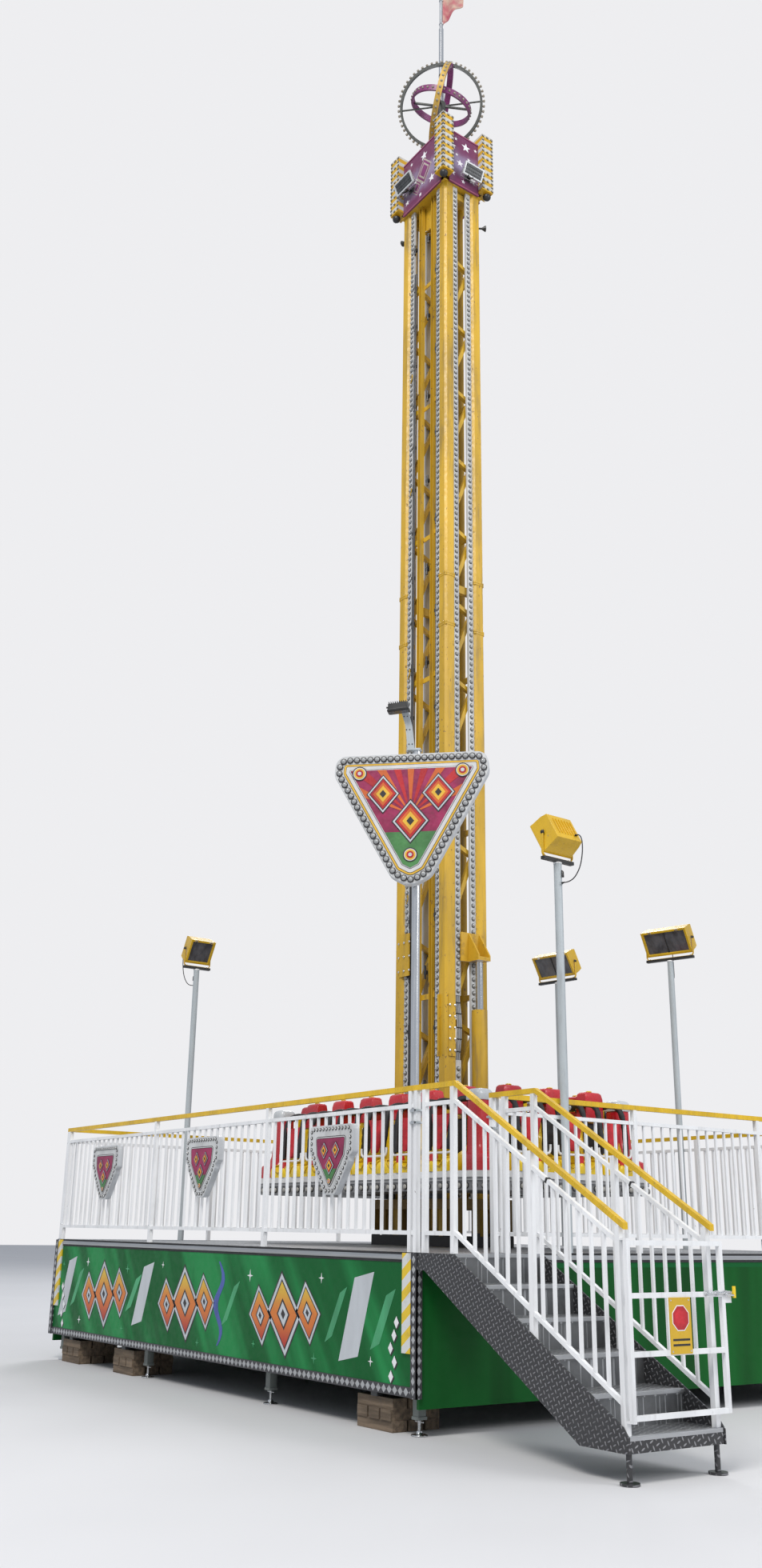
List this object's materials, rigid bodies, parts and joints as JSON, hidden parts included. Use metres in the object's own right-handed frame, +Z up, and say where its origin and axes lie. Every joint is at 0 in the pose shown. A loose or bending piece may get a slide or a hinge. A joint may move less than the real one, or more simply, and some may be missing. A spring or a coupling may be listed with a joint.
{
  "type": "drop tower ride",
  "caption": "Family drop tower: a box tower with a lit crown on a raised, fenced deck with stairs and gate, and a rectangular gondola of seats that runs up and down the tower.",
  "frame": {"origin": "on the ground at the tower axis, under the centre jack's foot plate", "axes": "+X to the right along the deck towards the stairs, -Y to the front with the three fence signs, +Z up the tower"},
  "size_m": [8.96, 6.2435, 19.025],
  "materials": {
    "dark_steel": "satin dark grey paint",
    "tread_plate": "worn chequer plate",
    "bare_aluminium": "satin extrusion and chequer plate",
    "green_paint": "semi gloss green paint",
    "yellow_paint": "gloss yellow paint",
    "white_paint": "gloss white paint",
    "ochre_paint": "worn yellow paint",
    "purple_paint": "printed purple panel",
    "grey_paint": "satin grey paint",
    "steel_tube": "bright steel",
    "cream_plastic": "cream lamp housing",
    "yellow_shell": "glass fibre shell",
    "red_shell": "red glass fibre shell",
    "black_pad": "black moulded foam",
    "timber": "rough sawn timber",
    "flag_cloth": "faded flag cloth",
    "black_rubber": "black cable and hose sheath"
  },
  "bodies": {
    "base": {"deck_frame": "dark_steel", "deck_floor": "tread_plate", "edge_rail": "bare_aluminium", "front_fascia": "green_paint", "fascia_trim": "bare_aluminium", "hazard_strips": "yellow_paint", "side_skirts": "green_paint", "jack_legs": "dark_steel", "timber_blocks": "timber", "stair_stringers": "bare_aluminium", "stair_treads": "bare_aluminium", "stair_rails": "white_paint", "handrails": "yellow_paint", "fence_front": "white_paint", "fence_left": "white_paint", "fence_right": "white_paint", "fence_back": "white_paint", "fence_signs": "yellow_paint", "sign_mast": "steel_tube", "sign_board": "yellow_paint", "sign_floodlight": "dark_steel", "tower_base": "ochre_paint", "tower_posts": "ochre_paint", "lattice_right": "ochre_paint", "lattice_left": "ochre_paint", "guide_rails": "ochre_paint", "light_strips": "cream_plastic", "hoist_ropes": "steel_tube", "hinge_plates": "ochre_paint", "cylinder_barrel": "yellow_paint", "cylinder_rod": "steel_tube", "tower_head": "ochre_paint", "crown_panels": "purple_paint", "crown_lamps": "cream_plastic", "crown_floodlights": "dark_steel", "crown_rings": "dark_steel", "flagpole": "steel_tube", "flag": "flag_cloth", "flood_masts": "steel_tube", "flood_heads": "yellow_paint", "chassis_rails": "dark_steel", "stack_posts": "dark_steel", "lamp_leads": "black_rubber", "supply_hoses": "black_rubber"},
    "gate": {"gate_frame": "white_paint", "gate_plate": "yellow_paint"},
    "gondola": {"gondola_carriage": "dark_steel", "gondola_platform": "grey_paint", "seat_pans": "yellow_shell", "seat_backs": "yellow_shell", "seat_wings": "yellow_shell", "seat_pads": "black_pad", "head_boxes": "red_shell", "corner_columns": "red_shell", "column_domes": "steel_tube"},
    "front_restraints": {"restraints_front": "black_pad"},
    "back_restraints": {"restraints_back": "black_pad"},
    "left_restraints": {"restraints_left": "black_pad"},
    "right_restraints": {"restraints_right": "black_pad"}
  },
  "joints": [
    {"name": "gondola_lift", "type": "slide", "parent": "base", "child": "gondola", "axis": [0, 0, 1], "range_m": [0, 11]},
    {"name": "gate_hinge", "type": "hinge", "parent": "base", "child": "gate", "pos_m": [5.445, -2.818, 0.9], "axis": [0, 0, -1], "range_deg": [0, 100]},
    {"name": "front_restraint_hinge", "type": "hinge", "parent": "gondola", "child": "front_restraints", "pos_m": [0, -0.632, 2.577], "axis": [-1, 0, 0], "range_deg": [0, 80]},
    {"name": "back_restraint_hinge", "type": "hinge", "parent": "gondola", "child": "back_restraints", "pos_m": [0, 0.632, 2.577], "axis": [1, 0, 0], "range_deg": [0, 80]},
    {"name": "left_restraint_hinge", "type": "hinge", "parent": "gondola", "child": "left_restraints", "pos_m": [-1.632, 0, 2.577], "axis": [0, 1, 0], "range_deg": [0, 80]},
    {"name": "right_restraint_hinge", "type": "hinge", "parent": "gondola", "child": "right_restraints", "pos_m": [1.632, 0, 2.577], "axis": [0, -1, 0], "range_deg": [0, 80]}
  ]
}
